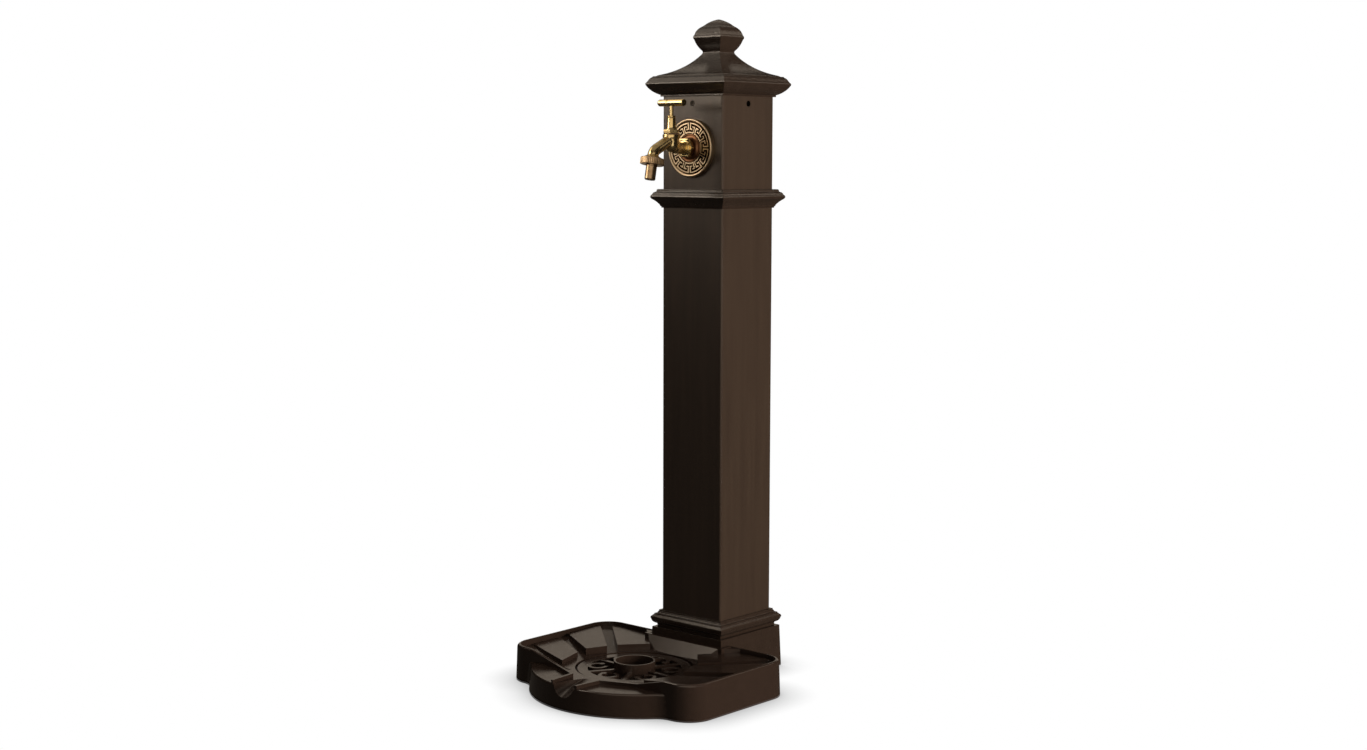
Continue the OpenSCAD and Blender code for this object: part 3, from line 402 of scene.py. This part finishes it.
world = bpy.data.worlds.new("studio")
world.use_nodes = True
sky_tree = world.node_tree
sky_tree.nodes.clear()
sky_level = add(sky_tree, "MapRange", {
    "Value": seen_directly(sky_tree), "To Min": AMBIENT, "To Max": 1.0})
sky = add(sky_tree, "Background", {"Color": WHITE, "Strength": sky_level.outputs[0]})
add(sky_tree, "OutputWorld", {"Surface": sky.outputs[0]})
scene.world = world
print("world light on the object:", AMBIENT)

# %% [markdown]
# The floor is seamless paper. A white surface that only glows would lose the shadow that ties the object
# to the ground, so its soft shadow comes from how much of the sky each of its points sees past the object.
# For the rays that carry light it is grey card.

# %% Floor
FLOOR_HALF = 8.0
FLOOR_DROP = 0.2 * MM
SHADOW_REACH = 0.055
SHADOW_DEPTH = 0.9


def stage_piece(name, bm, finish):
    mesh = bpy.data.meshes.new(name)
    bm.to_mesh(mesh)
    bm.free()
    mesh.materials.append(finish)
    piece = bpy.data.objects.new(name, mesh)
    scene.collection.objects.link(piece)
    return piece


# White to the eye, with a shadow that fades within a few centimetres
paper, paper_tree = new_finish("white_paper")
open_sky = add(paper_tree, "AmbientOcclusion", {"Distance": SHADOW_REACH}, samples=16).outputs["AO"]
paper_level = add(paper_tree, "MapRange", {
    "Value": open_sky, "To Min": 1.0 - SHADOW_DEPTH, "To Max": 1.0})
white = add(paper_tree, "Emission", {"Color": WHITE, "Strength": paper_level.outputs[0]})
card = add(paper_tree, "BsdfDiffuse", {"Color": linear("#595959")})
paper_look = add(paper_tree, "MixShader", {
    0: seen_directly(paper_tree), 1: card.outputs[0], 2: white.outputs[0]})
add(paper_tree, "OutputMaterial", {"Surface": paper_look.outputs[0]})
floor_bm = bmesh.new()
bmesh.ops.create_grid(floor_bm, x_segments=1, y_segments=1, size=FLOOR_HALF)
floor = stage_piece("floor", floor_bm, paper)
floor.location.z = -FLOOR_DROP
print("floor", 2 * FLOOR_HALF, "m wide")

# %% [markdown]
# Through the tray's drain the paper would shine white, though no light reaches it there. So a small dark
# disc of painted shade lies under the drain, inside the tray's walls, where no other view can see it.

# %% Painted shade under the drain
grate_low, grate_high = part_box("grate")
grate_middle = (grate_low + grate_high) / 2
# Painted shade: nearly black, standing in for the shade under the closed tray
dark, dark_tree = new_finish("painted_shade_finish")
dark_look = add(dark_tree, "BsdfDiffuse", {"Color": linear("#14110f")})
add(dark_tree, "OutputMaterial", {"Surface": dark_look.outputs[0]})
dark_bm = bmesh.new()
bmesh.ops.create_circle(dark_bm, cap_ends=True, segments=32, radius=grate_high.x - grate_middle.x)
shade = stage_piece("painted_shade_under_drain", dark_bm, dark)
shade.location = (grate_middle.x, grate_middle.y, -FLOOR_DROP / 2)
print("dark disc", round(grate_high.x - grate_low.x, 4), "m wide")


# %% [markdown]
# ## Lamps
# A large soft lamp on the right lights the column's side evenly. Weak ones on the left front, overhead and
# behind lift the surfaces that it misses. A single sun would be simpler, but it casts hard shadows, and the
# photograph has none. Lamps make the even light only; what the shiny surfaces mirror hangs in the next
# cells.

# %% Lamps
def soft_lamp(name, place, target, size, power):
    lamp = bpy.data.lights.new(name, "AREA")
    lamp.shape = "SQUARE"
    lamp.size = size
    lamp.energy = power
    holder = bpy.data.objects.new(name, lamp)
    scene.collection.objects.link(holder)
    holder.location = place
    holder.rotation_euler = (Vector(target) - Vector(place)).to_track_quat("-Z", "Y").to_euler()
    holder.visible_glossy = False
    return holder


middle = Vector((0, 0, column_high.z / 2))
tap_place = Vector((0, face_y, tap_z))
# Place, the point it faces, side length, watts
LAMPS = {
    "key_right": ((2.6, 0.35, 0.15), middle, 2.0, 118),
    "front_left": ((-0.56, -0.69, 1.08), tap_place, 0.5, 0.9),
    "top": ((0.2, -0.4, 2.6), middle, 1.5, 6),
    "fill_back": ((-1.6, 1.8, 0.9), middle, 1.2, 24)}
for name, setting in LAMPS.items():
    soft_lamp(name, *setting)
print("lamps:", list(LAMPS))

# %% [markdown]
# ## A dark tent with cards
# A photographer hangs black cloth round shiny metal so that it has dark shapes to reflect and does not
# melt into the white, and sets a few pale cards inside it for the highlights. A bright one close by on the
# left front, its lower edge near the tap, makes the sheen that fades down the front face. The cloth and
# the cards here can only be seen by mirror rays, so they neither shade the object nor show in the picture.

# %% Tent
WARM = "#ffeed9"
TENT_R, TENT_H, TENT_GROUND = 1.7, 2.6, 2 * MM
CLOTH, CEILING, GROUND = 0.012, 0.25, 0.04


def hung(name, bm, level):
    finish, tree = new_finish(name)
    glow = add(tree, "Emission", {"Color": linear(WARM), "Strength": level})
    add(tree, "OutputMaterial", {"Surface": glow.outputs[0]})
    piece = stage_piece(name, bm, finish)
    piece.visible_camera = False
    piece.visible_diffuse = False
    piece.visible_shadow = False
    piece.visible_transmission = False
    return piece


tent_bm = bmesh.new()
bmesh.ops.create_circle(tent_bm, cap_ends=True, segments=64, radius=TENT_R)
wall = bmesh.ops.extrude_edge_only(tent_bm, edges=tent_bm.edges[:])["geom"]
wall_top = [v for v in wall if isinstance(v, bmesh.types.BMVert)]
bmesh.ops.translate(tent_bm, vec=(0, 0, TENT_H), verts=wall_top)
bmesh.ops.translate(tent_bm, vec=(0, 0, TENT_GROUND), verts=tent_bm.verts)
hung("dark_tent", tent_bm, CLOTH)
disc_bm = bmesh.new()
bmesh.ops.create_circle(disc_bm, cap_ends=True, segments=64, radius=TENT_R)
ceiling = hung("card_ceiling", disc_bm.copy(), CEILING)
ceiling.location.z = TENT_H
ground = hung("card_ground", disc_bm, GROUND)
ground.location.z = 2 * TENT_GROUND
print("tent", 2 * TENT_R, "m wide and", TENT_H, "m high")


# %% [markdown]
# Each card is an upright sheet that faces the column. It could be modelled where it hangs, but a bearing, a
# distance and two heights say more plainly what a surface of the object will mirror.

# %% Cards
def card_at(name, bearing, distance, low, high, width, level):
    bm = bmesh.new()
    bmesh.ops.create_grid(bm, x_segments=1, y_segments=1, size=0.5)
    sheet = hung(name, bm, level)
    turn = math.radians(bearing)
    sheet.location = (distance * math.cos(turn), distance * math.sin(turn), (low + high) / 2)
    sheet.scale = (width, high - low, 1.0)
    sheet.rotation_euler = (math.radians(90), 0, turn + math.radians(90))
    return sheet


# Bearing in degrees, distance, lower edge, upper edge, width, glow
CARDS = {
    "card_sheen": (231, 0.89, 0.84, 1.32, 0.5, 6.5),
    "card_behind": (131, 1.4, 0.1, 0.75, 1.5, 0.48),
    "card_high_behind": (135, 1.5, 1.85, 2.55, 2.0, 0.9),
    "card_left_high": (202, 1.4, 1.5, 2.5, 1.2, 1.6),
    "card_beside_camera": (-55, 1.4, 0.2, 1.5, 2.4, 1.0),
    "card_right_back": (56, 1.4, 1.15, 1.75, 0.9, 1.2)}
for name, setting in CARDS.items():
    card_at(name, *setting)
print("cards:", list(CARDS))

# %% [markdown]
# ## The camera
# The camera stands where the photographer's did. It could be moved by eye until the picture fits, but its
# place, its angle and its focal length were worked out from the column's upright edges and the widths of
# the collars, and are only written down here.

# %% Camera
SENSOR, FOCAL_LENGTH, FAR = 36.0, 51.37, 50
AZIMUTH, PITCH, ROLL = math.radians(41.53), math.radians(6.35), math.radians(0.151)
PLACE = Vector((1.7912, -2.0944, 0.7289))
camera_data = bpy.data.cameras.new("camera")
camera_data.sensor_width = SENSOR
camera_data.lens = FOCAL_LENGTH
camera_data.clip_end = FAR
camera = bpy.data.objects.new("camera", camera_data)
scene.collection.objects.link(camera)
level_ahead = Vector((-math.sin(AZIMUTH), math.cos(AZIMUTH), 0))
ahead = level_ahead * math.cos(PITCH) - Vector((0, 0, math.sin(PITCH)))
right = Vector((math.cos(AZIMUTH), math.sin(AZIMUTH), 0))
up = right.cross(ahead)
rolled_right = right * math.cos(ROLL) + up * math.sin(ROLL)
rolled_up = up * math.cos(ROLL) - right * math.sin(ROLL)
axes = Matrix((rolled_right, rolled_up, -ahead)).transposed()
camera.matrix_world = Matrix.Translation(PLACE) @ axes.to_4x4()
scene.camera = camera
print("camera at", [round(v, 3) for v in PLACE])
